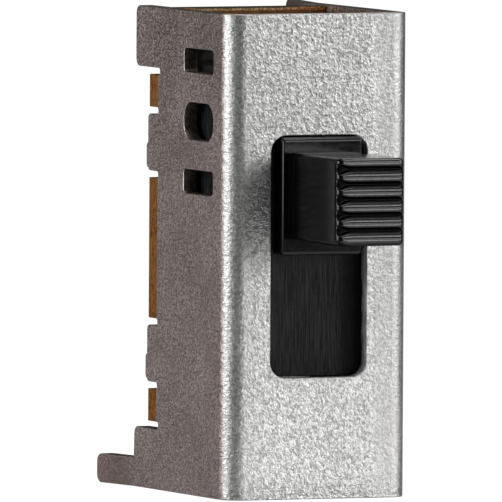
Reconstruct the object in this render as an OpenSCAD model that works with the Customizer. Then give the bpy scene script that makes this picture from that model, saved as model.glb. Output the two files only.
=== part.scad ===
// Miniature slide switch, two poles and two positions, for a printed circuit board.
// A folded sheet-metal frame holds a moulded slider in front of a terminal board.
//
// The model stands on the frame's lower end. +Z runs along the slider's travel, the front
// wall faces -Y and the solder side faces +Y. The origin is the middle of the bounding
// box's bottom face. Inside the modules, y = 0 is the front face and z = 0 is mid-length.
// Frame and slider look the same after half a turn about the front-to-back axis, apart
// from the slider's own position along its travel.

/* [Frame] */
// Length of the frame along the slider's travel
frame_l = 12.7; // [12:0.1:16]
// Width of the frame over its two side flanges
frame_w = 5.19; // [5:0.01:7]
// Thickness of the sheet
sheet_t = 0.38; // [0.3:0.01:0.46]
// Outer radius of the two long folds, which is concentric with their inner radius
fold_r = 0.52; // [0.4:0.01:0.6]
// From the front face to the stand-off tabs' ends, which rest on the circuit board
standoff_depth = 6.27; // [6.05:0.01:8]
// Length of each stand-off tab at the frame's ends
end_tab_l = 1.6; // [1.2:0.05:1.9]
// Length of each inner tab, which is staked over the terminal board
inner_tab_l = 1.5; // [1.1:0.05:1.8]
// From mid-length to the middle of an inner tab
inner_tab_at = 2.78; // [2.3:0.01:3]
// Corner radius of the tabs and legs
tab_r = 0.22; // [0.1:0.01:0.35]
// Length of the two solder legs past the stand-off tabs
leg_l = 1.9; // [1.5:0.05:3.5]
// Width of each solder leg
leg_w = 0.77; // [0.5:0.01:1.1]
// Angle at which the solder legs spread outwards, which holds them in their holes
leg_flare = 8.4; // [2:0.2:12]
// Width of the relief notches beside the tabs
relief_w = 0.18; // [0.1:0.01:0.25]
// How far the notches beside the end tabs cut in front of the terminal board
relief_cut = 0.14; // [0.1:0.01:0.3]
// How far the staked metal stands behind the terminal board
stake_h = 0.13; // [0.1:0.01:0.2]
// How far the staked metal leans over the terminal board
stake_lap = 0.14; // [0.05:0.01:0.3]
// Length of the staked part of each inner tab
stake_l = 0.68; // [0.4:0.02:0.9]

/* [Front slot] */
// Length of the slot in the front wall
slot_l = 6.34; // [5.2:0.02:7.62]
// Width of the slot
slot_w = 2.72; // [2.3:0.02:3.2]
// Corner radius of the slot
slot_r = 0.42; // [0.1:0.02:0.5]

/* [Detent windows] */
// Width of the windows, front to back
window_w = 1.96; // [1.5:0.02:2.3]
// From the front face to the middle of the windows
window_at = 2.01; // [1.7:0.01:2.5]
// Height of the upper and lower window
window_h = 0.63; // [0.5:0.01:0.8]
// Height of the middle window
middle_window_h = 0.98; // [0.7:0.01:1.2]
// Corner radius of the upper and lower window
window_r = 0.12; // [0.05:0.01:0.2]
// Corner radius of the middle window, up to half its height
middle_window_r = 0.45; // [0.15:0.01:0.48]
// From the frame's end to the middle of the nearer outer window
window_end = 1.3; // [1.1:0.05:1.6]

/* [Slider] */
// Length of the raised block that fills the slot's width
block_l = 3.09; // [2.6:0.01:3.8]
// Width of the raised block
block_w = 2.26; // [1.8:0.02:2.5]
// How far the block stands in front of the frame
block_proud = 0.2; // [0.1:0.02:0.6]
// Corner radius of the block
block_r = 0.1; // [0.05:0.01:0.3]
// Gap between the block and the slot's end at each end of the travel
slot_end_gap = 0.0375; // [0.02:0.0025:0.1]
// Height of the knob along the travel
knob_l = 2.28; // [2.2:0.01:2.6]
// Width of the knob
knob_w = 1.88; // [1.4:0.01:2.1]
// How far the knob's ridges reach in front of the frame
knob_reach = 3.46; // [2:0.01:5]
// Corner radius of the knob
knob_r = 0.12; // [0.05:0.01:0.3]
// Number of grip ridges on the knob's end, counted down from its upper edge
ridge_count = 6; // [3:1:6]
// Spacing of the grip ridges
ridge_pitch = 0.4; // [0.3:0.01:0.42]
// Height of the grip ridges
ridge_h = 0.13; // [0.05:0.01:0.2]
// Width of the ridges, between the round-bottomed grooves
ridge_w = 0.13; // [0.1:0.01:0.2]
// Thickness of the plate that slides behind the front wall
plate_t = 0.7; // [0.5:0.05:0.9]
// Running gap between the plate and the front wall
plate_gap = 0.05; // [0.03:0.01:0.1]
// Running gap between the plate and each flange
side_gap = 0.06; // [0.04:0.01:0.1]
// Gap between the plate and the frame's end at each end of the travel
plate_end_gap = 0.02; // [0.02:0.0025:0.1]
// Wall at each end of the contacts' pockets
carrier_wall = 0.6; // [0.4:0.05:0.8]

/* [Detent] */
// Thickness of the two sprung fingers
finger_t = 0.45; // [0.3:0.05:0.6]
// How far the detent nubs reach past the flanges' inner faces
nub_bite = 0.04; // [0.02:0.005:0.045]
// Width of the nubs' flat crests
nub_crest = 0.02; // [0.01:0.005:0.03]

/* [Terminal board] */
// Thickness of the terminal board
board_t = 0.61; // [0.5:0.01:0.8]
// From the front face to the front of the terminal board
seat_depth = 4.79; // [3.99:0.01:5.3]
// Gap between the board and the tabs beside it
notch_gap = 0.18; // [0.05:0.01:0.25]
// Gap between the board and what it lies flush with or fits between
board_gap = 0.03; // [0.02:0.01:0.08]

/* [Terminals] */
// Spacing of the terminals in a row and of the two rows
pitch = 2.54; // [2.4:0.02:3.06]
// Length of the terminals' heads
head_l = 1.9; // [1.5:0.05:2.1]
// Width of the terminals' heads
head_w = 1; // [0.8:0.05:1.2]
// Thickness of the terminals' heads
head_t = 0.2; // [0.15:0.01:0.3]
// Width of the terminals' tails
tail_w = 0.76; // [0.5:0.02:1]
// Thickness of the terminals' tails
tail_t = 0.36; // [0.25:0.01:0.5]
// How far the tails reach past the stand-off tabs
tail_reach = 1.6; // [1.2:0.05:2.6]
// Gap between the tails and their slots in the board
tail_gap = 0.02; // [0.01:0.01:0.06]

/* [Contacts] */
// Thickness of the bridging contacts
contact_t = 0.18; // [0.12:0.01:0.25]
// Width of the bridging contacts
contact_w = 0.9; // [0.7:0.05:1]
// How far the contacts' ends turn forward into the slider
contact_lip = 0.55; // [0.3:0.05:0.8]
// Height of the contacts' two bumps
bump_h = 0.2; // [0.1:0.01:0.3]
// Radius of the contacts' two bumps
bump_r = 0.45; // [0.3:0.05:0.6]
// Gap drawn between the bumps and the terminals' heads, which touch in use
touch_gap = 0.02; // [0.01:0.01:0.04]
// Gap around each contact in its pocket
pocket_gap = 0.05; // [0.03:0.01:0.1]
// Outer diameter of the contact springs
spring_d = 0.92; // [0.6:0.02:1]
// Wire diameter of the contact springs
wire_d = 0.15; // [0.1:0.01:0.2]
// Turns in each contact spring
spring_turns = 6; // [4:1:8]
// Length of each contact spring as fitted
spring_l = 2; // [1.6:0.05:2.2]

/* [Hidden] */
$fn = 48;
// Overlap that joins two solids, and how far a cutter runs past a face
lap = 0.01;
past = 1;
// Small step that keeps two faces of one piece apart
step_back = 0.12;
// Space between the flanges
inner_w = frame_w - 2 * sheet_t;
// Depth of the solder legs' tips and of the terminals' tips
leg_depth = standoff_depth + leg_l * cos(leg_flare) + sheet_t * sin(leg_flare);
tail_depth = standoff_depth + tail_reach;
board_back = seat_depth + board_t;
// Inner tabs stand just behind the board, and are staked near their lower ends
tab_proud = 0.03;
stake_inset = 0.07;
stake_drop = (inner_tab_l - stake_l) / 2 - stake_inset;
// The slider travels from one end of the slot to the other, and is drawn at the upper end
travel = slot_l - block_l - 2 * slot_end_gap;
rest_z = travel / 2;
// Inner radius of the folds, which the plate's front corners follow
inner_r = max(0.02, fold_r - sheet_t);
// Plate behind the front wall
plate_w = inner_w - 2 * side_gap;
plate_l = frame_l - travel - 2 * plate_end_gap;
plate_front = sheet_t + plate_gap;
plate_back = plate_front + plate_t;
// Terminals, contacts and the carrier that holds the contacts
head_front = seat_depth - head_t;
strip_back = head_front - touch_gap - bump_h;
strip_front = strip_back - contact_t;
contact_end_l = 0.25;
contact_l = pitch + 2 * (bump_r + contact_end_l);
pocket_l = contact_l + 2 * pocket_gap;
pocket_w = contact_w + 2 * pocket_gap;
pocket_floor = strip_back - contact_lip - pocket_gap;
carrier_l = pocket_l + 2 * carrier_wall;
carrier_w = plate_w - 2 * side_gap;
carrier_back = strip_front + contact_t / 2;
barrier_w = 0.4;
barrier_back = seat_depth - step_back;
// Detent fingers, whose nubs ride in the upper or lower windows
detent_at = frame_l / 2 - window_end - rest_z;
finger_gap = 0.08;
finger_front = plate_back + step_back;
finger_back = window_at + window_w / 2 - step_back;
finger_end = detent_at + finger_t;
// Sides of the springs' wire, and steps in each turn
wire_sides = 8;
turn_steps = 16;

// Draws its children again after half a turn about the front-to-back axis
module both_ends() {
    children();
    rotate([0, 180, 0]) children();
}

// Moves a shape from the modules' frame to the model's own
module placed() {
    translate([0, (knob_reach - leg_depth) / 2, frame_l / 2]) children();
}

// Extrudes an outline drawn in depth and height sideways from x = at
module sideways(at, width) {
    translate([at, 0, 0]) rotate([90, 0, 90]) linear_extrude(width) children();
}

// Extrudes an outline drawn in width and height from depth = at towards the back
module backwards(at, depth) {
    translate([0, at + depth, 0]) rotate([90, 0, 0]) linear_extrude(depth) children();
}

// Rectangle with its middle at the origin and round corners, short of half its lesser side
module round_rect(size, corner_r) {
    r = min(corner_r, 0.48 * min(size[0], size[1]));
    square([size[0] - 2 * r, size[1]], center = true);
    square([size[0], size[1] - 2 * r], center = true);
    for (x = [-1, 1], y = [-1, 1])
        translate([x * (size[0] / 2 - r), y * (size[1] / 2 - r)]) circle(r);
}

// Rectangle from y = 0 to y = depth whose two far corners are round
module round_tab(depth, height, r) {
    translate([0, -height / 2]) square([depth - r, height]);
    translate([0, -height / 2 + r]) square([depth, height - 2 * r]);
    for (side = [-1, 1])
        translate([depth - r, side * (height / 2 - r)]) circle(r);
}

// Channel seen from its end, before its flanges are cut to their outlines
module channel_section() {
    difference() {
        rounded_front(frame_w, 0, standoff_depth, fold_r);
        rounded_front(inner_w, sheet_t, standoff_depth, inner_r);
    }
}

// Rectangle in width and depth from depth = at towards the back, with its two front corners round
module rounded_front(width, at, depth, r) {
    translate([-width / 2, at + r]) square([width, depth - r]);
    translate([-width / 2 + r, at]) square([width - 2 * r, depth]);
    for (side = [-1, 1])
        translate([side * (width / 2 - r), at + r]) circle(r);
}

// Slot that frees a tab's root at height z, and cuts this far in front of the board's seat
module relief(z, cut) {
    round_h = relief_w / 2;
    bottom = seat_depth - cut;
    translate([bottom + round_h, z - round_h]) square([past, relief_w]);
    translate([bottom + round_h, z]) circle(round_h);
}

// Outline of one flange in depth and height, whose solder leg is at the lower end
module flange_outline() {
    end_tab_z = frame_l / 2 - end_tab_l / 2;
    difference() {
        union() {
            translate([0, -frame_l / 2]) square([seat_depth, frame_l]);
            for (end = [-1, 1]) {
                translate([0, end * end_tab_z]) round_tab(standoff_depth, end_tab_l, tab_r);
                translate([0, end * inner_tab_at])
                    round_tab(board_back + tab_proud, inner_tab_l, stake_h);
                translate([0, end * inner_tab_at - stake_drop])
                    round_tab(board_back + stake_h, stake_l, stake_h);
            }
            // Square lower corner, where the stand-off tab passes into the leg
            translate([0, -frame_l / 2]) square([standoff_depth, leg_w]);
        }
        for (end = [-1, 1]) {
            relief(end * (frame_l / 2 - end_tab_l - relief_w / 2), relief_cut);
            for (side = [-1, 1])
                relief(end * inner_tab_at + side * (inner_tab_l + relief_w) / 2, relief_cut / 3);
        }
    }
}

// Solder leg at the left flange's lower end, bent outwards about the flange's outer face
module solder_leg() {
    bend_lap = 1;
    tip_cut = 0.15;
    translate([-frame_w / 2, standoff_depth, -frame_l / 2]) {
        rotate([0, 0, -bend_lap]) rotate_extrude(angle = leg_flare + 2 * bend_lap)
            square([sheet_t, leg_w]);
        rotate([0, 0, leg_flare]) sideways(0, sheet_t) translate([0, leg_w / 2]) {
            round_tab(leg_l, leg_w, tab_r);
            polygon([[0, -leg_w / 2], [leg_l - tip_cut, -leg_w / 2], [leg_l, 0], [0, 0]]);
        }
    }
}

// Metal of the left flange's two inner tabs that is staked over the back of the board
module stakes() {
    for (end = [-1, 1])
        translate([-inner_w / 2 - lap, board_back, end * inner_tab_at - stake_drop - stake_l / 2])
            cube([stake_lap + lap, stake_h, stake_l]);
}

// The three detent windows of one flange, centred on their depth and on mid-travel
module window_outlines() {
    for (step = [-1, 1])
        translate([window_at, detent_at + step * travel / 2])
            round_rect([window_w, window_h], window_r);
    translate([window_at, detent_at])
        round_rect([window_w, middle_window_h], middle_window_r);
}

module frame() {
    color([0.74, 0.74, 0.73]) placed() difference() {
        union() {
            intersection() {
                linear_extrude(frame_l, center = true) channel_section();
                both_ends() sideways(-frame_w / 2 - past, frame_w / 2 + past) flange_outline();
            }
            both_ends() stakes();
            both_ends() solder_leg();
        }
        backwards(-past, sheet_t + 2 * past) round_rect([slot_w, slot_l], slot_r);
        both_ends() sideways(-frame_w / 2 - past, sheet_t + 1.5 * past) window_outlines();
    }
}

// Profile of the knob in depth and height: round-bottomed grooves leave ridges along its end
module knob_profile() {
    groove_w = ridge_pitch - ridge_w;
    difference() {
        translate([-knob_reach, -knob_l / 2]) square([knob_reach, knob_l]);
        for (i = [1 : ridge_count])
            translate([-knob_reach, knob_l / 2 + groove_w / 2 - i * ridge_pitch])
                scale([ridge_h / (groove_w / 2), 1]) circle(groove_w / 2);
    }
}

// Outline of the knob in width and depth, round at its two far corners
module knob_plan() {
    rotate(-90) round_tab(knob_reach, knob_w, knob_r);
}

// Sprung finger at the upper left of the slider, with its nub
module finger() {
    face = inner_w / 2 - finger_gap;
    crest = inner_w / 2 + nub_bite;
    rise = crest - face;
    nub_front = max(finger_front, window_at - window_w / 2) + step_back / 2;
    nub_back = finger_back - step_back / 2;
    translate([-face, finger_front, carrier_l / 2 - lap])
        cube([finger_t, finger_back - finger_front, finger_end - carrier_l / 2 + lap]);
    translate([0, nub_back, detent_at]) rotate([90, 0, 0]) linear_extrude(nub_back - nub_front)
        polygon([
            [-crest, -nub_crest / 2], [-crest, nub_crest / 2],
            [-face, nub_crest / 2 + rise], [-face + lap, nub_crest / 2 + rise],
            [-face + lap, -nub_crest / 2 - rise], [-face, -nub_crest / 2 - rise]
        ]);
}

// Pocket for one contact and its spring, open at the back
module contact_pocket() {
    translate([-pocket_w / 2, pocket_floor, -pocket_l / 2])
        cube([pocket_w, carrier_back - pocket_floor + past, pocket_l]);
    translate([0, strip_front - spring_l - touch_gap, 0]) rotate([-90, 0, 0])
        cylinder(h = spring_l + past, d = spring_d + 2 * pocket_gap);
}

module slider() {
    color([0.06, 0.06, 0.06]) placed() translate([0, 0, rest_z]) {
        difference() {
            union() {
                // Knob and the block it stands on
                intersection() {
                    sideways(-knob_w, 2 * knob_w) knob_profile();
                    linear_extrude(2 * knob_l, center = true) knob_plan();
                    backwards(-knob_reach, knob_reach) round_rect([knob_w, knob_l], knob_r);
                }
                backwards(-block_proud, plate_front + block_proud + lap)
                    round_rect([block_w, block_l], block_r);
                // Plate behind the front wall
                linear_extrude(plate_l, center = true)
                    rounded_front(plate_w, plate_front, plate_t, inner_r);
                // Carrier for the contacts, with a barrier between the two poles
                translate([-carrier_w / 2, plate_back - lap, -carrier_l / 2])
                    cube([carrier_w, carrier_back - plate_back + lap, carrier_l]);
                translate([-barrier_w / 2, plate_back, -pocket_l / 2])
                    cube([barrier_w, barrier_back - plate_back, pocket_l]);
                both_ends() finger();
            }
            for (side = [-1, 1]) translate([side * pitch / 2, 0, 0]) contact_pocket();
        }
    }
}

// Outline of the terminal board in width and height
module board_outline() {
    outer_w = frame_w - 2 * board_gap;
    narrow_w = inner_w - 2 * board_gap;
    end_l = end_tab_l + notch_gap;
    notch_l = inner_tab_l + 2 * notch_gap;
    difference() {
        square([outer_w, frame_l - 2 * board_gap], center = true);
        for (side = [-1, 1], end = [-1, 1]) {
            translate([side * (narrow_w + past) / 2, end * (frame_l + past - end_l) / 2])
                square([past, end_l + past], center = true);
            translate([side * (narrow_w + past) / 2, end * inner_tab_at])
                square([past, notch_l], center = true);
        }
    }
}

module terminal_board() {
    color([0.5, 0.33, 0.17]) placed() backwards(seat_depth, board_t) difference() {
        board_outline();
        for (column = [-1, 1], row = [-1 : 1])
            translate([column * pitch / 2, row * pitch])
                square([tail_t + 2 * tail_gap, tail_w + 2 * tail_gap], center = true);
    }
}

// Terminal in column -1 or 1 and row -1, 0 or 1: head, shank, two staked ears and tail
module terminal(column, row) {
    taper_l = 0.5;
    ear_w = tail_w + 0.3;
    ear_t = 0.14;
    corner_r = 0.15;
    color([0.8, 0.78, 0.72]) placed() translate([column * pitch / 2, 0, row * pitch]) {
        backwards(head_front, head_t) round_rect([head_w, head_l], corner_r);
        translate([0, board_back, 0]) sideways(-tail_t / 2, tail_t)
            translate([0, -ear_w / 2]) square([ear_t, ear_w]);
        sideways(-tail_t / 2, tail_t) polygon([
            [seat_depth - lap, -tail_w / 2], [seat_depth - lap, tail_w / 2],
            [tail_depth - taper_l, tail_w / 2], [tail_depth, tail_w / 4],
            [tail_depth, -tail_w / 4], [tail_depth - taper_l, -tail_w / 2]
        ]);
    }
}

// Bridging contact on one side: a strip with two bumps and two ends turned forward
module contact(side) {
    color([0.83, 0.8, 0.74]) placed() translate([side * pitch / 2 - contact_w / 2, 0, rest_z]) {
        translate([0, strip_front, -contact_l / 2]) cube([contact_w, contact_t, contact_l]);
        for (end = [-1, 1]) {
            translate([0, strip_back - contact_lip, end * (contact_l - contact_t) / 2 - contact_t / 2])
                cube([contact_w, contact_lip, contact_t]);
            intersection() {
                translate([0, strip_back + bump_h - bump_r, end * pitch / 2]) rotate([0, 90, 0])
                    cylinder(h = contact_w, r = bump_r);
                translate([0, strip_front + lap, -contact_l / 2])
                    cube([contact_w, contact_t + bump_h, contact_l]);
            }
        }
    }
}

// Closed tube along a helix of the given radius, rising from 0 to height
module coil(radius, height, turns, wire_r) {
    steps = turns * turn_steps;
    points = [
        for (i = [0 : steps], k = [0 : wire_sides - 1])
            let (
                turn = 360 * i / turn_steps,
                around = 360 * k / wire_sides,
                r = radius + wire_r * cos(around)
            )
            [r * cos(turn), r * sin(turn), wire_r + (height - 2 * wire_r) * i / steps + wire_r * sin(around)]
    ];
    side_faces = [
        for (i = [0 : steps - 1], k = [0 : wire_sides - 1])
            let (next = (k + 1) % wire_sides)
            [
                i * wire_sides + k, (i + 1) * wire_sides + k,
                (i + 1) * wire_sides + next, i * wire_sides + next
            ]
    ];
    start_face = [for (k = [0 : wire_sides - 1]) k];
    end_face = [for (k = [0 : wire_sides - 1]) (steps + 1) * wire_sides - 1 - k];
    polyhedron(points, concat(side_faces, [start_face, end_face]));
}

// Coil spring that presses one contact against its terminals
module contact_spring(side) {
    color([0.7, 0.7, 0.68]) placed()
        translate([side * pitch / 2, strip_front - spring_l - touch_gap / 2, rest_z])
            rotate([-90, 0, 0]) coil((spring_d - wire_d) / 2, spring_l, spring_turns, wire_d / 2);
}

frame();
slider();
terminal_board();
terminal(-1, 1);  // terminal_left_top
terminal(-1, 0);  // terminal_left_middle
terminal(-1, -1);  // terminal_left_bottom
terminal(1, 1);  // terminal_right_top
terminal(1, 0);  // terminal_right_middle
terminal(1, -1);  // terminal_right_bottom
contact(-1);  // contact_left
contact(1);  // contact_right
contact_spring(-1);  // contact_spring_left
contact_spring(1);  // contact_spring_right
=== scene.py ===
"""Slide switch: looks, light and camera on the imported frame.

Lengths are in metres, written as millimetres times MM. Noise scales are in cells per metre.
"""
import math

import bmesh
import bpy
from mathutils import Matrix, Vector


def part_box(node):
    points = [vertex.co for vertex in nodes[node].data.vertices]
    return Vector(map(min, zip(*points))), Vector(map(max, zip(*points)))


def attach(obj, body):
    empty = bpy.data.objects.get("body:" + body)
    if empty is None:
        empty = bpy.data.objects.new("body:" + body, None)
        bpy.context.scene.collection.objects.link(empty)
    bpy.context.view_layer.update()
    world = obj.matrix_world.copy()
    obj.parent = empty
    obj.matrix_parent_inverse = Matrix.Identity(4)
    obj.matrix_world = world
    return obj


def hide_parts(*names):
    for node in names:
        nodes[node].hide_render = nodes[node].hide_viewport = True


MM = 0.001
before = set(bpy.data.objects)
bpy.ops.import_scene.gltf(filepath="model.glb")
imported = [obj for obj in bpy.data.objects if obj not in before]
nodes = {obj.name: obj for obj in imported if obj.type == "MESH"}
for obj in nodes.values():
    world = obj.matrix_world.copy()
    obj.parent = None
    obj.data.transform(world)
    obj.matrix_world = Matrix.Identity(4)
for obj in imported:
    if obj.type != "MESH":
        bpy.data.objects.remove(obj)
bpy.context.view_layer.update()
scene = bpy.context.scene

FRAME_LO, FRAME_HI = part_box("frame")
SLIDER_LO, SLIDER_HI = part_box("slider")
BOARD_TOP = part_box("terminal_board")[1].z
FRONT = FRAME_LO.y  # the front wall's outer face
MIDDLE_Z = (FRAME_LO.z + FRAME_HI.z) / 2
SLIDER_Z = (SLIDER_LO.z + SLIDER_HI.z) / 2

# ---------------------------------------------------------------- camera

CAMERA_AZIMUTH = math.radians(-22.97)  # 0 is in front of the switch, negative is to its left
CAMERA_ELEVATION = math.radians(3.13)
CAMERA_ROLL = math.radians(0.3335)
CAMERA_DISTANCE_MM = 564.4
CAMERA_AIM = Vector((0, FRONT + 2 * MM, MIDDLE_Z))
CAMERA_LEFT_MM, CAMERA_RAISE_MM = 0.996, 0.0386  # these place the switch in the picture
LENS, SENSOR = 1544.2, 36


def add_camera():
    """Long lens from the left and slightly above."""
    back = Vector((math.sin(CAMERA_AZIMUTH) * math.cos(CAMERA_ELEVATION),
                   -math.cos(CAMERA_AZIMUTH) * math.cos(CAMERA_ELEVATION),
                   math.sin(CAMERA_ELEVATION)))
    level_right = Vector((math.cos(CAMERA_AZIMUTH), math.sin(CAMERA_AZIMUTH), 0))
    level_up = back.cross(level_right)
    right = level_right * math.cos(CAMERA_ROLL) + level_up * math.sin(CAMERA_ROLL)
    up = level_up * math.cos(CAMERA_ROLL) - level_right * math.sin(CAMERA_ROLL)
    place = (CAMERA_AIM + back * CAMERA_DISTANCE_MM * MM
             - right * CAMERA_LEFT_MM * MM + up * CAMERA_RAISE_MM * MM)
    data = bpy.data.cameras.new("camera")
    data.sensor_width = SENSOR
    data.lens = LENS
    data.clip_start = 0.05
    data.clip_end = 10
    camera = bpy.data.objects.new("camera", data)
    camera.matrix_world = Matrix((
        (right.x, up.x, back.x, place.x),
        (right.y, up.y, back.y, place.y),
        (right.z, up.z, back.z, place.z),
        (0, 0, 0, 1)))
    scene.collection.objects.link(camera)
    scene.camera = camera


add_camera()
scene.view_settings.view_transform = "Standard"

# ---------------------------------------------------------------- node helpers


class NodeTree:
    """A node tree, with short calls for the nodes used here."""

    def __init__(self, tree):
        self.nodes, self.links = tree.nodes, tree.links

    def put(self, socket, value):
        """Links a node's output to the socket, or sets a plain value on it."""
        if isinstance(value, bpy.types.NodeSocket):
            self.links.new(value, socket)
        else:
            socket.default_value = value

    def node(self, kind, **inputs):
        made = self.nodes.new(kind)
        for key, value in inputs.items():
            self.put(made.inputs[key.replace("_", " ")], value)
        return made

    def math(self, kind, a, b=0.5, c=0.5):
        made = self.nodes.new("ShaderNodeMath")
        made.operation = kind
        for socket, value in zip(made.inputs, (a, b, c)):
            self.put(socket, value)
        return made.outputs[0]

    def weighted(self, *terms):
        """Sum of pairs of a value and its weight."""
        total = 0.0
        for value, weight in terms:
            total = self.math("MULTIPLY_ADD", value, weight, total)
        return total

    def span(self, value, lo, hi, to_lo=0.0, to_hi=1.0):
        """Smooth step from to_lo to to_hi while the value goes from lo to hi."""
        made = self.nodes.new("ShaderNodeMapRange")
        made.interpolation_type = "SMOOTHSTEP"
        for key, number in (("Value", value), ("From Min", lo), ("From Max", hi),
                            ("To Min", to_lo), ("To Max", to_hi)):
            self.put(made.inputs[key], number)
        return made.outputs["Result"]

    def mix(self, amount, a, b):
        """Colour or vector that goes from a to b as the amount goes from 0 to 1."""
        made = self.nodes.new("ShaderNodeMix")
        made.data_type = "RGBA"
        self.put(made.inputs[0], amount)
        self.put(made.inputs[6], a)
        self.put(made.inputs[7], b)
        return made.outputs[2]

    def split(self, vector):
        """The vector's x, y and z."""
        return self.node("ShaderNodeSeparateXYZ", Vector=vector).outputs

    def largest(self, vector):
        """The vector's largest component, whatever its sign."""
        x, y, z = (self.math("ABSOLUTE", part) for part in self.split(vector))
        return self.math("MAXIMUM", x, self.math("MAXIMUM", y, z))


class Shader(NodeTree):
    """A new material's node tree."""

    def __init__(self, name):
        self.material = bpy.data.materials.new(name)
        self.material.use_nodes = True
        super().__init__(self.material.node_tree)
        self.surface = self.nodes["Principled BSDF"]
        self.place = self.nodes.new("ShaderNodeTexCoord").outputs["Object"]

    def geometry(self):
        return self.nodes.new("ShaderNodeNewGeometry").outputs

    def scaled(self, x, y, z):
        """The place on the part, times a number along each axis."""
        made = self.node("ShaderNodeMapping", Vector=self.place)
        made.inputs["Scale"].default_value = (x, y, z)
        return made.outputs["Vector"]

    def noise(self, scale, detail=2.0, rough=0.5, vector=None, distortion=0.0):
        made = self.node("ShaderNodeTexNoise", Vector=vector or self.place, Scale=scale,
                         Detail=detail, Roughness=rough, Distortion=distortion)
        return made.outputs["Fac"]

    def bump(self, height, distance, normal=None):
        made = self.node("ShaderNodeBump", Height=height, Distance=distance, Strength=1.0)
        if normal is not None:
            self.put(made.inputs["Normal"], normal)
        return made.outputs["Normal"]

    def finish(self, **inputs):
        for key, value in inputs.items():
            self.put(self.surface.inputs[key.replace("_", " ")], value)
        return self.material


def rgb(r, g, b):
    return (r, g, b, 1.0)


# ---------------------------------------------------------------- materials


def plated_sheet():
    """Matt tin plate on rolled steel: fine mottled grain, with the flanges painted browner and duller as a
    painted reflection of the dim, warm surroundings they face.
    """
    s = Shader("tinned_steel_sheet")
    x, y, z = s.split(s.place)
    geometry = s.geometry()
    level = s.span(s.largest(geometry["True Normal"]), 0.9998, 0.99995)
    facing = s.mix(level, geometry["Normal"], geometry["True Normal"])  # flat faces shade flat
    flange = s.span(s.math("ABSOLUTE", s.split(facing)[0]), 0.9, 0.995)

    rolled = s.scaled(1, 0.55, 1)
    grain = s.noise(12600, 2.0, 0.6, rolled, 0.5)
    swell = s.noise(8200, 1.0, 0.5, rolled)
    fleck = s.noise(25000, 1.0, 0.5, rolled)
    drawn = s.noise(1.0, 3.0, 0.6, s.scaled(9000, 9000, 700))
    cloud = s.noise(420, 3.0, 0.55)
    tarnish = s.noise(1500, 2.0, 0.5)

    # Front wall: mottled, smoother along its right edge and beside its left fold, lightly stained.
    mottle = s.weighted((fleck, 0.23), (swell, 0.12), (grain, 0.65))
    right_edge = s.span(x, 1.35 * MM, 1.75 * MM)
    left_edge = s.span(x, -2.1 * MM, -1.65 * MM, 0.6, 0.0)
    calm = s.math("MAXIMUM", right_edge, left_edge)
    stain = s.math("MULTIPLY", s.span(cloud, 0.52, 0.75), s.span(fleck, 0.5, 0.72))
    front = s.mix(s.span(mottle, 0.385, 0.615), rgb(0.44, 0.436, 0.431), rgb(1.0, 0.995, 0.985))
    front = s.mix(s.math("MULTIPLY", calm, 0.5), front, rgb(0.64, 0.636, 0.63))
    front = s.mix(s.span(drawn, 0.3, 0.7, 0.0, 0.25), front, rgb(0.83, 0.82, 0.81))
    front = s.mix(s.math("MULTIPLY", stain, 0.4), front, rgb(0.6, 0.5, 0.41))

    # Flanges: speckled, a little more strongly at the upper end, and darkest along the back. Their brown
    # tint is a painted reflection of dim, warm surroundings.
    speckle = s.weighted((fleck, 0.5), (grain, 0.5))
    upper_end = s.span(z, FRAME_HI.z - 2.6 * MM, FRAME_HI.z - 0.8 * MM)
    darkest = s.math("MULTIPLY_ADD", upper_end, 0.055, 0.345)
    palest = s.math("MULTIPLY_ADD", upper_end, -0.02, 0.655)
    back = s.span(y, FRAME_HI.y - 2.3 * MM, FRAME_HI.y - 1.0 * MM)
    side = s.mix(s.span(speckle, darkest, palest), rgb(0.42, 0.335, 0.314), rgb(1.0, 0.845, 0.815))
    side = s.mix(s.span(tarnish, 0.45, 0.65, 0.0, 0.35), side, rgb(0.56, 0.47, 0.43))
    side = s.mix(s.math("MULTIPLY", back, 0.75), side, rgb(0.37, 0.262, 0.235))

    rough = s.math("ADD", s.span(fleck, 0.3, 0.7, 0.34, 0.46), s.span(cloud, 0.35, 0.65, -0.02, 0.03))
    height = s.weighted((grain, 1.0), (drawn, 0.25), (swell, 0.5), (fleck, 0.3))
    height = s.math("MULTIPLY", height, s.span(calm, 0.0, 1.0, 1.0, 0.5))
    return s.finish(Base_Color=s.mix(flange, front, side), Metallic=1.0, Roughness=rough,
                    Normal=s.bump(height, 0.022 * MM, facing))


def cut_sheet(name, dark, light, metallic, torn_and_shaded=False):
    """Sheared edge of the sheet, bare steel with a warm tarnish.

    The torn kind is streaked along Z, is hardly tarnished, and darkens inwards from the front face as
    painted shade.
    """
    s = Shader(name)
    tear = s.noise(1.0, 3.0, 0.6, s.scaled(9000, 9000, 2600 if torn_and_shaded else 9000))
    patch = s.noise(2500, 2.0, 0.5)
    tarnish = s.span(patch, 0.45, 0.7, 0.0, 0.1 if torn_and_shaded else 0.5)
    color = s.mix(s.span(tear, 0.3, 0.7), dark, light)
    color = s.mix(tarnish, color, rgb(0.42, 0.31, 0.22))
    if torn_and_shaded:
        # Painted shade: the wall goes nearly black further in from the front face.
        depth = s.math("SUBTRACT", s.split(s.place)[1], FRONT)
        ragged = s.math("MULTIPLY_ADD", s.span(tear, 0.36, 0.64, -1.0, 1.0), 0.1 * MM, depth)
        color = s.mix(s.span(ragged, 0.16 * MM, 0.42 * MM), color, rgb(0.035, 0.034, 0.033))
    return s.finish(Base_Color=color, Metallic=metallic, Roughness=s.span(tear, 0.3, 0.7, 0.42, 0.62),
                    Normal=s.bump(tear, 0.014 * MM))


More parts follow.
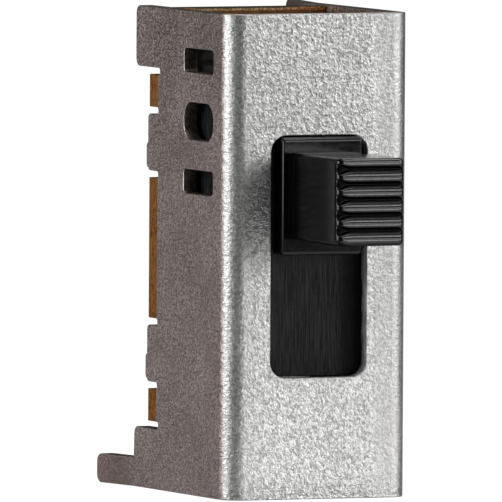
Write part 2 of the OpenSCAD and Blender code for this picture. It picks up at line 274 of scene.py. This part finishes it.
def nylon(name, gloss, smooth, wiped=False):
    """Black moulded nylon.

    The wiped one has fine pale lines along the slider's travel, which fade out on the right as painted
    shadow of the slot's right edge.
    """
    s = Shader(name)
    skin = s.noise(11000, 3.0, 0.6)
    patch = s.noise(1500, 2.0, 0.5)
    color = s.mix(s.span(patch, 0.35, 0.65), rgb(0.0015, 0.0015, 0.0016), rgb(0.0028, 0.0028, 0.003))
    height = skin
    distance = 0.001 * MM
    if wiped:
        lines = s.noise(1.0, 4.0, 0.7, s.scaled(36000, 36000, 800))
        # Painted shadow: the pale lines fade out on the right, where the slot's right edge shades the
        # plate.
        clear_of_painted_shadow = s.span(s.split(s.place)[0], 0.68 * MM, 0.92 * MM, 1.0, 0.0)
        wear = s.math("MULTIPLY", s.span(lines, 0.42, 0.62), clear_of_painted_shadow)
        color = s.mix(wear, color, rgb(0.044, 0.044, 0.0445))
        height = s.weighted((skin, 0.4), (lines, 1.4))
        distance = 0.013 * MM
    return s.finish(Base_Color=color, Roughness=s.span(skin, 0.3, 0.7, smooth, smooth + 0.08),
                    Specular_IOR_Level=gloss, Normal=s.bump(height, distance))


def laminate():
    """Paper laminate board: brown resin, paper layers on its sawn edges, a pale rim along its top that is
    painted light, and painted shade lower down on its face within the housing.
    """
    s = Shader("phenolic_board")
    x, _, z = s.split(s.place)
    _, across, upward = s.split(s.geometry()["Normal"])
    layers = s.noise(1.0, 3.0, 0.65, s.scaled(6500, 20000, 6500))
    fibre = s.noise(1.0, 3.0, 0.6, s.scaled(9000, 9000, 2600))
    patch = s.noise(1500, 2.0, 0.5)
    speck = s.span(s.noise(16000, 2.0, 0.6), 0.4, 0.6)

    # Sawn edges. The top one is nearly black.
    edge = s.mix(s.span(layers, 0.38, 0.62), rgb(0.13, 0.045, 0.008), rgb(0.47, 0.185, 0.036))
    edge = s.mix(s.span(patch, 0.4, 0.66, 0.0, 0.4), edge, rgb(0.42, 0.2, 0.06))
    edge = s.mix(s.span(upward, 0.3, 0.7), edge, rgb(0.05, 0.045, 0.03))

    # Rim of the broad faces: pale gold under a dark line in the middle, reddish brown on either side. The
    # pale gold middle is painted light that falls in through the top of the housing.
    uneven = s.span(patch, 0.3, 0.7, -0.012 * MM, 0.012 * MM)
    below = s.math("ADD", s.math("SUBTRACT", BOARD_TOP, z), uneven)
    painted_light_band = s.math("MULTIPLY", s.span(x, -1.9 * MM, -1.2 * MM), s.span(x, 1.0 * MM, 1.7 * MM, 1.0, 0.0))
    dark_line = s.math("MULTIPLY", s.span(below, 0.025 * MM, 0.04 * MM, 1.0, 0.0), painted_light_band)
    rim = s.mix(painted_light_band, s.mix(speck, rgb(0.3, 0.1, 0.03), rgb(0.85, 0.34, 0.1)),
                s.mix(speck, rgb(0.42, 0.25, 0.11), rgb(0.95, 0.66, 0.36)))
    rim = s.mix(dark_line, rim, rgb(0.07, 0.065, 0.045))

    # Broad faces below the rim. The one within the housing gets darker further down, as painted shade
    # under the front wall and slider.
    past_rim = s.span(below, 0.08 * MM, 0.1 * MM)
    painted_shade_within = s.math("MULTIPLY", s.span(across, -0.9, -0.6, 1.0, 0.0),
                    s.span(below, 0.15 * MM, 0.5 * MM, 0.2, 0.98))
    flat = s.mix(s.span(fibre, 0.34, 0.66), rgb(0.24, 0.085, 0.018), rgb(0.42, 0.165, 0.042))
    flat = s.mix(past_rim, rim, flat)
    flat = s.mix(s.math("MULTIPLY", painted_shade_within, past_rim), flat, rgb(0.012, 0.008, 0.005))

    broad = s.span(s.math("ABSOLUTE", across), 0.6, 0.9)
    height = s.weighted((fibre, 1.0), (layers, 0.8))
    return s.finish(Base_Color=s.mix(broad, edge, flat), Roughness=s.span(fibre, 0.3, 0.7, 0.45, 0.62),
                    Specular_IOR_Level=0.2, Normal=s.bump(height, 0.007 * MM))


def plated_brass(name, dark, light, roughness):
    """Silver-plated brass, slightly yellowed, with fine stamping lines."""
    s = Shader(name)
    grain = s.noise(7000, 3.0, 0.55)
    lines = s.noise(1.0, 3.0, 0.6, s.scaled(16000, 1500, 16000))
    tarnish = s.noise(1300, 3.0, 0.6)
    color = s.mix(s.span(grain, 0.3, 0.7), dark, light)
    color = s.mix(s.span(tarnish, 0.5, 0.72, 0.0, 0.4), color, rgb(0.55, 0.42, 0.25))
    height = s.weighted((grain, 1.0), (lines, 0.7))
    return s.finish(Base_Color=color, Metallic=1.0,
                    Roughness=s.span(lines, 0.3, 0.7, roughness - 0.06, roughness + 0.08),
                    Normal=s.bump(height, 0.004 * MM))


def spring_wire():
    """Drawn spring wire with a dull straw tint."""
    s = Shader("spring_steel")
    draw = s.noise(30000, 2.0, 0.5)
    color = s.mix(s.span(draw, 0.3, 0.7), rgb(0.4, 0.38, 0.35), rgb(0.66, 0.64, 0.6))
    return s.finish(Base_Color=color, Metallic=1.0, Roughness=s.span(draw, 0.3, 0.7, 0.25, 0.4),
                    Normal=s.bump(draw, 0.001 * MM))


SHEET = plated_sheet()
EDGE = cut_sheet("tinned_steel_edge", rgb(0.17, 0.14, 0.12), rgb(0.34, 0.29, 0.25), 1.0)
# Painted light: a paler, less metallic copy of the sheared edge, for the front wall's top rim where the
# lamps catch it.
PAINTED_LIT_EDGE = cut_sheet("tinned_steel_painted_lit_edge", rgb(0.55, 0.45, 0.37), rgb(1.0, 0.88, 0.77), 0.25)
# Slot walls: a pale, less metallic copy with painted light near the front face, and painted shade further
# in.
SLOT_EDGE = cut_sheet("tinned_steel_slot_edge", rgb(0.35, 0.35, 0.35), rgb(1.0, 1.0, 1.0), 0.25, torn_and_shaded=True)
NYLON = nylon("black_nylon", 0.46, 0.1)
DULL_NYLON = nylon("black_nylon_dull", 0.14, 0.11)
GRIP = nylon("black_nylon_polished_by_use", 0.78, 0.14)
WIPED = nylon("black_nylon_wiped", 0.3, 0.15, wiped=True)
BOARD = laminate()
TERMINAL = plated_brass("plated_terminal", rgb(0.62, 0.59, 0.52), rgb(0.84, 0.81, 0.74), 0.34)
CONTACT = plated_brass("plated_contact", rgb(0.7, 0.67, 0.6), rgb(0.9, 0.87, 0.8), 0.26)
SPRING = spring_wire()

# ---------------------------------------------------------------- mesh helpers

WELD_GAP = 0.0004 * MM  # vertices nearer than this are joined


def dress(obj, *materials):
    obj.data.materials.clear()
    for material in materials:
        obj.data.materials.append(material)


def even_shading(obj, weight):
    """Lets large faces set the shading of the small ones beside them."""
    even = obj.modifiers.new("even_shading", "WEIGHTED_NORMAL")
    even.mode = "FACE_AREA"
    even.keep_sharp = False
    even.weight = weight


def soften(obj, width):
    """Joins the mesh's vertices, merges its flat triangles and rounds its sharp edges."""
    weld = obj.modifiers.new("join", "WELD")
    weld.merge_threshold = WELD_GAP
    merge = obj.modifiers.new("merge_flats", "DECIMATE")
    merge.decimate_type = "DISSOLVE"
    merge.angle_limit = math.radians(0.5)
    merge.delimit = {"MATERIAL"}
    bevel = obj.modifiers.new("soft_edges", "BEVEL")
    bevel.width = width
    bevel.segments = 2
    bevel.limit_method = "ANGLE"
    bevel.angle_limit = math.radians(28)
    bevel.use_clamp_overlap = False
    bevel.harden_normals = True
    even_shading(obj, 75)
    for polygon in obj.data.polygons:
        polygon.use_smooth = True


def join_rings(bm, rings):
    """Faces between each ring of vertices and the next."""
    count = len(rings[0])
    for a, b in zip(rings, rings[1:]):
        for i in range(count):
            j = (i + 1) % count
            bm.faces.new((a[i], a[j], b[j], b[i]))


def add_piece(name, bm, body, slot, *materials):
    """Makes a piece of the part from the mesh, on a CAD body. Its slot is not used."""
    bmesh.ops.recalc_face_normals(bm, faces=bm.faces)
    mesh = bpy.data.meshes.new(name)
    bm.to_mesh(mesh)
    bm.free()
    for polygon in mesh.polygons:
        polygon.use_smooth = True
    obj = bpy.data.objects.new(name, mesh)
    scene.collection.objects.link(obj)
    dress(obj, *materials)
    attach(obj, body)
    return obj


# ---------------------------------------------------------------- folded frame

PLATED, BARE, PAINTED_LIT_RIM, TORN_AND_SHADED = range(4)  # the frame's materials, in their order
FLANGE_X = 2 * MM  # the flanges and folds lie further out than this
SLOT_X = 1.5 * MM  # the slot's edges lie nearer the middle than this
WALL_BACK = FRONT + 0.56 * MM  # a little behind the front wall and its folds
RIM_Z = FRAME_HI.z - 0.1 * MM  # a little below the frame's upper end


def frame_finish(normal, centre):
    """Which material a face of the frame has, from the way it faces and where it lies."""
    outside = abs(centre.x) > FLANGE_X
    in_front_wall = centre.y < WALL_BACK
    sideways = abs(normal.x) > 0.9
    forward = abs(normal.y) > 0.9
    upright = abs(normal.z) < 0.05
    if sideways and outside or in_front_wall and (forward or upright and outside):
        return PLATED
    # The front wall's top rim takes the paler copy, as painted light.
    if in_front_wall and centre.z > RIM_Z:
        return PAINTED_LIT_RIM
    # The slot's walls take the copy with painted light and shade.
    if in_front_wall and abs(centre.x) < SLOT_X:
        return TORN_AND_SHADED
    return PLATED if sideways else BARE


def dress_frame():
    """Plated sheet on the rolled faces and folds, bare steel on every sheared edge, with painted light on
    the front wall's top rim and painted light and shade on the slot's walls.
    """
    obj = nodes["frame"]
    dress(obj, SHEET, EDGE, PAINTED_LIT_EDGE, SLOT_EDGE)
    for polygon in obj.data.polygons:
        polygon.material_index = frame_finish(polygon.normal, polygon.center)
    soften(obj, 0.028 * MM)


dress_frame()

# ---------------------------------------------------------------- slider

BLOCK_W, BLOCK_L = 2.26 * MM, 3.09 * MM
BLOCK_CORNER = 0.1 * MM  # radius of its corners, seen from the front
BLOCK_ROUNDING = 0.115 * MM  # radius of its front edges
BLOCK_Y = FRONT - 0.2 * MM  # its front face
KNOB_W = 1.88 * MM
KNOB_TOP, KNOB_FOOT = 1.148 * MM, -1.14 * MM  # above and below the slider's middle
TIP_Y = SLIDER_LO.y
RIDGES = 6
RIDGE_PITCH = 0.4 * MM
FIRST_CREST = 1.07 * MM  # the highest ridge, above the slider's middle
TAPER, TAPER_L = 0.7, 0.42 * MM  # how much a ridge narrows at its left end, and over what length


def moulding_behind():
    """The plate, carrier and sprung fingers: the CAD shape behind the front wall, with soft edges."""
    bm = bmesh.new()
    bm.from_mesh(nodes["slider"].data)
    bmesh.ops.remove_doubles(bm, verts=bm.verts, dist=WELD_GAP)
    cut = bmesh.ops.bisect_plane(bm, geom=bm.verts[:] + bm.edges[:] + bm.faces[:],
                                 plane_co=(0, FRONT + 0.4 * MM, 0), plane_no=(0, -1, 0),
                                 clear_outer=True)
    rim = [e for e in cut["geom_cut"] if isinstance(e, bmesh.types.BMEdge)]
    bmesh.ops.contextual_create(bm, geom=rim)
    obj = add_piece("slider_moulding", bm, "slider", "black_nylon", WIPED)
    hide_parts("slider")
    soften(obj, 0.03 * MM)


def rounded_outline(width, height, radius, steps=7):
    """Points of a rectangle with round corners, in order."""
    points = []
    for sx, sz, start in ((1, 1, 0), (-1, 1, 90), (-1, -1, 180), (1, -1, 270)):
        for i in range(steps + 1):
            t = math.radians(start + 90 * i / steps)
            points.append((sx * (width / 2 - radius) + radius * math.cos(t),
                           sz * (height / 2 - radius) + radius * math.sin(t)))
    return points


def raised_block():
    """Block in the slot, with rounded edges round its front."""
    steps = 9
    profile = [(0.0, FRONT + 0.5 * MM)]
    for i in range(steps + 1):
        t = math.pi / 2 * i / steps
        profile.append((BLOCK_ROUNDING * (1 - math.cos(t)), BLOCK_Y + BLOCK_ROUNDING * (1 - math.sin(t))))
    bm = bmesh.new()
    rings = []
    for inset, y in profile:
        outline = rounded_outline(BLOCK_W - 0.9 * inset, BLOCK_L - 2 * inset, BLOCK_CORNER - 0.6 * inset)
        rings.append([bm.verts.new((x, y, SLIDER_Z + z)) for x, z in outline])
    join_rings(bm, rings)
    bm.faces.new(rings[0])
    bm.faces.new(rings[-1])
    obj = add_piece("slider_block", bm, "slider", "black_nylon", NYLON, GRIP)
    upper_z = SLIDER_Z + BLOCK_L / 2 - BLOCK_ROUNDING
    left_x = 0.045 * MM - BLOCK_W / 2
    for polygon in obj.data.polygons:
        centre = polygon.center
        on_upper_edge = centre.z > upper_z and polygon.normal.z > 0.1
        on_left_edge = centre.x < left_x and centre.y < BLOCK_Y + BLOCK_ROUNDING
        polygon.material_index = 1 if on_upper_edge or on_left_edge else 0
    even_shading(obj, 50)


def ridge_table():
    """Pairs of the distance above a ridge's middle and the depth there.

    The depth is summed from the slopes below, at distances in millimetres, and is then tilted so
    that the ridge is as deep at its lower end as at its upper one.
    """
    slopes = ((-0.2, -1.1), (-0.115, -1.1), (-0.09, 0.06), (-0.07, 0.1), (-0.02, 0.36), (-0.004, -0.1),
              (0.012, -0.12), (0.022, 0.06), (0.078, 0.36), (0.1, 0.78), (0.2, 0.78))
    parts = 10
    start, end = slopes[0][0], slopes[-1][0]
    depth = 0.0
    table = [(start, depth)]
    for (a, slope_a), (b, slope_b) in zip(slopes, slopes[1:]):
        for i in range(1, parts + 1):
            t = (i - 0.5) / parts
            depth += (slope_a + (slope_b - slope_a) * t) * (b - a) / parts
            table.append((a + (b - a) * i / parts, depth))
    tilt = depth / (end - start)
    level = [(u, d - tilt * (u - start)) for u, d in table]
    least = min(d for _, d in level)
    return [(u * MM, (d - least) * MM) for u, d in level]


RIDGE_TABLE = ridge_table()


def ridge_depth(z, inset=1.0):
    """Depth of the grip's end below its foremost line, at height z above the slider's middle.

    Inset is the distance from the ridge's left end, where it narrows.
    """
    turn = (z - FIRST_CREST) / RIDGE_PITCH
    nearest = max(min(round(turn), 0), 1 - RIDGES)
    taper = max(0.0, 1 - inset / TAPER_L)
    u = (turn - nearest) * RIDGE_PITCH / (1 - TAPER * taper ** 2)
    if u <= RIDGE_TABLE[0][0]:
        return RIDGE_TABLE[0][1]
    for (a, depth_a), (b, depth_b) in zip(RIDGE_TABLE, RIDGE_TABLE[1:]):
        if u <= b:
            return depth_a + (depth_b - depth_a) * (u - a) / (b - a)
    return RIDGE_TABLE[-1][1]


def edge_drop(inset, radius):
    """How far a rounded edge falls at this distance in from the side."""
    if inset >= radius:
        return 0.0
    return radius - math.sqrt(max(0.0, radius ** 2 - (radius - inset) ** 2))


def largest_drop(drops):
    """The largest of the depths, blended smoothly where two are alike."""
    power = 5
    return sum((d / MM) ** power for d in drops) ** (1 / power) * MM


def spaced(lo, hi, radius, step, curve=7):
    """Positions from lo to hi, close together in the rounded ends."""
    near_end = [radius * (1 - math.cos(math.pi / 2 * i / curve)) for i in range(curve)]
    a, b = lo + radius, hi - radius
    count = max(1, round((b - a) / step))
    between = [a + (b - a) * i / count for i in range(count + 1)]
    return [lo + d for d in near_end] + between + [hi - d for d in near_end[::-1]]


def ridged_end(bm):
    """The knob's end. Returns its vertices, in rows from its foot to its top."""
    side_r, long_r, top_r, foot_r = 0.16 * MM, 0.12 * MM, 0.03 * MM, 0.05 * MM
    xs = spaced(-KNOB_W / 2, KNOB_W / 2, side_r, 0.04 * MM)
    zs = spaced(KNOB_FOOT, KNOB_TOP, long_r, 0.008 * MM, 10)
    rows = []
    for z in zs:
        half = KNOB_W / 2 - edge_drop(min(KNOB_TOP - z, z - KNOB_FOOT), long_r)
        row = []
        for across in xs:
            x = across * (half / (KNOB_W / 2))
            drop = largest_drop((ridge_depth(z, x + half), edge_drop(half - abs(x), side_r),
                                 edge_drop(KNOB_TOP - z, top_r), edge_drop(z - KNOB_FOOT, foot_r)))
            row.append(bm.verts.new((x, TIP_Y + drop, SLIDER_Z + z)))
        rows.append(row)
    for lower, upper in zip(rows, rows[1:]):
        for i in range(len(xs) - 1):
            bm.faces.new((lower[i], lower[i + 1], upper[i + 1], upper[i]))
    return rows


def knob_sides(bm, rim):
    """Faces from the end's rim back into the block, with a small fillet where they meet it."""
    count = len(rim)
    outward = []
    for i in range(count):
        along = rim[(i + 1) % count].co - rim[i - 1].co
        outward.append(Vector((along.z, 0, -along.x)).normalized())
    fillet, parts = 0.008 * MM, 5
    steps = [(TIP_Y + back, 0.0) for back in (0.3 * MM, 1.2 * MM, 2.2 * MM)]
    for i in range(parts + 1):
        t = math.pi / 2 * i / parts
        steps.append((BLOCK_Y - fillet * (1 - math.sin(t)), fillet * (1 - math.cos(t))))
    steps.append((BLOCK_Y + 0.05 * MM, fillet))
    rings = [rim]
    for y, flare in steps:
        rings.append([bm.verts.new((v.co.x + n.x * flare, y, v.co.z + n.z * flare))
                      for v, n in zip(rim, outward)])
    join_rings(bm, rings)
    bm.faces.new(rings[-1])


def on_polished_grip(centre):
    """Whether a place on the knob is on a ridge's crest, or at the crest's left end."""
    if centre.y >= TIP_Y + 0.2 * MM:
        return False
    z = centre.z - SLIDER_Z
    inset = centre.x + KNOB_W / 2
    inward = 0.1 * MM < inset < KNOB_W - 0.1 * MM
    on_crest = inward and ridge_depth(z, inset) < 0.034 * MM
    at_corner = inset < 0.045 * MM and ridge_depth(z) < 0.06 * MM
    return on_crest or at_corner


def knob():
    """Knob with six grip ridges across its end and rounded long edges."""
    bm = bmesh.new()
    rows = ridged_end(bm)
    rim = (rows[0][:-1] + [row[-1] for row in rows[:-1]]
           + rows[-1][:0:-1] + [row[0] for row in rows[:0:-1]])
    knob_sides(bm, rim)
    obj = add_piece("slider_knob", bm, "slider", "black_nylon", DULL_NYLON, GRIP)
    for polygon in obj.data.polygons:
        polygon.material_index = 1 if on_polished_grip(polygon.center) else 0


moulding_behind()
raised_block()
knob()

# ---------------------------------------------------------------- board, terminals, contacts, springs

dress(nodes["terminal_board"], BOARD)
soften(nodes["terminal_board"], 0.02 * MM)
for name, obj in nodes.items():
    if name.startswith("terminal_") and name != "terminal_board":
        dress(obj, TERMINAL)
        soften(obj, 0.022 * MM)
    if name in ("contact_left", "contact_right"):
        dress(obj, CONTACT)
        soften(obj, 0.025 * MM)


def coil_spring(side):
    """Round-wire coil, in place of the CAD's coarse one."""
    node = f"contact_spring_{side}"
    lo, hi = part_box(node)
    wire_r, turns, per_turn, around = 0.075 * MM, 6, 40, 14
    middle = (lo + hi) / 2
    radius = (hi.x - lo.x) / 2 - wire_r
    length = hi.y - lo.y - 2 * wire_r
    steps = turns * per_turn
    bm = bmesh.new()
    rings = []
    for i in range(steps + 1):
        turn = 2 * math.pi * i / per_turn
        out = Vector((math.cos(turn), 0, math.sin(turn)))
        centre = Vector((middle.x, lo.y + wire_r + length * i / steps, middle.z)) + out * radius
        ring = []
        for k in range(around):
            t = 2 * math.pi * k / around
            ring.append(bm.verts.new(centre + out * wire_r * math.cos(t)
                                     + Vector((0, wire_r * math.sin(t), 0))))
        rings.append(ring)
    join_rings(bm, rings)
    bm.faces.new(rings[0])
    bm.faces.new(rings[-1])
    obj = add_piece(f"coil_{side}", bm, "slider", "spring_steel", SPRING)
    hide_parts(node)


coil_spring("left")
coil_spring("right")

# ---------------------------------------------------------------- floor, world and lights

LAMP_DISTANCE = 1.0


def backdrop_strength(tree, seen, mirrored):
    """Strength of a backdrop: seen by the camera and through glass, mirrored in gloss, else none."""
    rays = tree.nodes.new("ShaderNodeLightPath").outputs
    straight = tree.math("MAXIMUM", rays["Is Camera Ray"], rays["Is Transmission Ray"])
    return tree.weighted((straight, seen), (rays["Is Glossy Ray"], mirrored))


def add_floor():
    """Round pale floor just under the switch. It is white to the camera."""
    around = 96
    bm = bmesh.new()
    rings = []
    for radius in (120 * MM, 60 * MM, 30 * MM, 12 * MM):
        turns = [2 * math.pi * i / around for i in range(around)]
        rings.append([bm.verts.new((radius * math.cos(t), radius * math.sin(t), 0)) for t in turns])
    join_rings(bm, rings)
    bm.faces.new(rings[-1])
    mesh = bpy.data.meshes.new("floor")
    bm.to_mesh(mesh)
    bm.free()
    floor = bpy.data.objects.new("floor", mesh)
    floor.location.z = FRAME_LO.z - 0.002 * MM
    scene.collection.objects.link(floor)
    s = Shader("pale_floor")
    dress(floor, s.finish(Base_Color=rgb(0.22, 0.22, 0.218), Roughness=0.9, Specular_IOR_Level=0.0,
                          Emission_Color=rgb(1, 1, 1), Emission_Strength=backdrop_strength(s, 0.96, 0.1)))


def add_world():
    """White studio to the camera, nearly dark where the metal mirrors it."""
    world = bpy.data.worlds.new("studio")
    scene.world = world
    world.use_nodes = True
    tree = NodeTree(world.node_tree)
    background = tree.nodes["Background"]
    tree.put(background.inputs["Color"], rgb(1, 0.995, 0.985))
    tree.put(background.inputs["Strength"], backdrop_strength(tree, 1.02, 0.02))


def area_lamp(name, place, away, width, height, radiance):
    """Rectangular lamp that the camera doesn't see. It shines the opposite way to away."""
    data = bpy.data.lights.new(name, "AREA")
    data.shape = "RECTANGLE"
    data.size = width
    data.size_y = height
    data.energy = radiance * math.pi * data.size * data.size_y
    lamp = bpy.data.objects.new(name, data)
    lamp.location = place
    lamp.rotation_mode = "QUATERNION"
    lamp.rotation_quaternion = away.to_track_quat("Z", "Y")
    lamp.visible_camera = False
    scene.collection.objects.link(lamp)


def softbox(name, azimuth, elevation, width, height, radiance):
    """Lamp aimed at the switch from a place given in degrees, with its size in degrees.

    Azimuth 0 is in front of the switch and 90 is to its right.
    """
    a, e = math.radians(azimuth), math.radians(elevation)
    away = Vector((math.sin(a) * math.cos(e), -math.cos(a) * math.cos(e), math.sin(e)))
    area_lamp(name, Vector((0, 0, MIDDLE_Z)) + away * LAMP_DISTANCE, away,
              2 * LAMP_DISTANCE * math.tan(math.radians(width / 2)),
              2 * LAMP_DISTANCE * math.tan(math.radians(height / 2)), radiance)


def table_glow(radiance):
    """Lamp that lights the table close in front of the switch. The table throws the light back up."""
    place = Vector((5 * MM, FRONT - 8.7 * MM, FRAME_LO.z + 0.1 * MM))
    area_lamp("table_glow", place, Vector((0, 0, 1)), 16 * MM, 16 * MM, radiance)


add_floor()
add_world()
softbox("key", 39, 11, 40, 13, 3.2)
softbox("key_high", 42, 24, 34, 8, 0.9)
softbox("key_foot", 42, -1.5, 34, 9, 1.3)
softbox("inner_fill", 22, 15, 8, 28, 1.35)
softbox("outer_fill", 66, 10, 14, 34, 2.3)
softbox("left_strip", -97, 8, 24, 44, 3.9)
softbox("left_front_fill", -74, 8, 22, 44, 1.1)
softbox("left_rear_fill", -118, 8, 18, 44, 1.3)
softbox("overhead", 20, 80, 40, 40, 2.4)
table_glow(2.6)
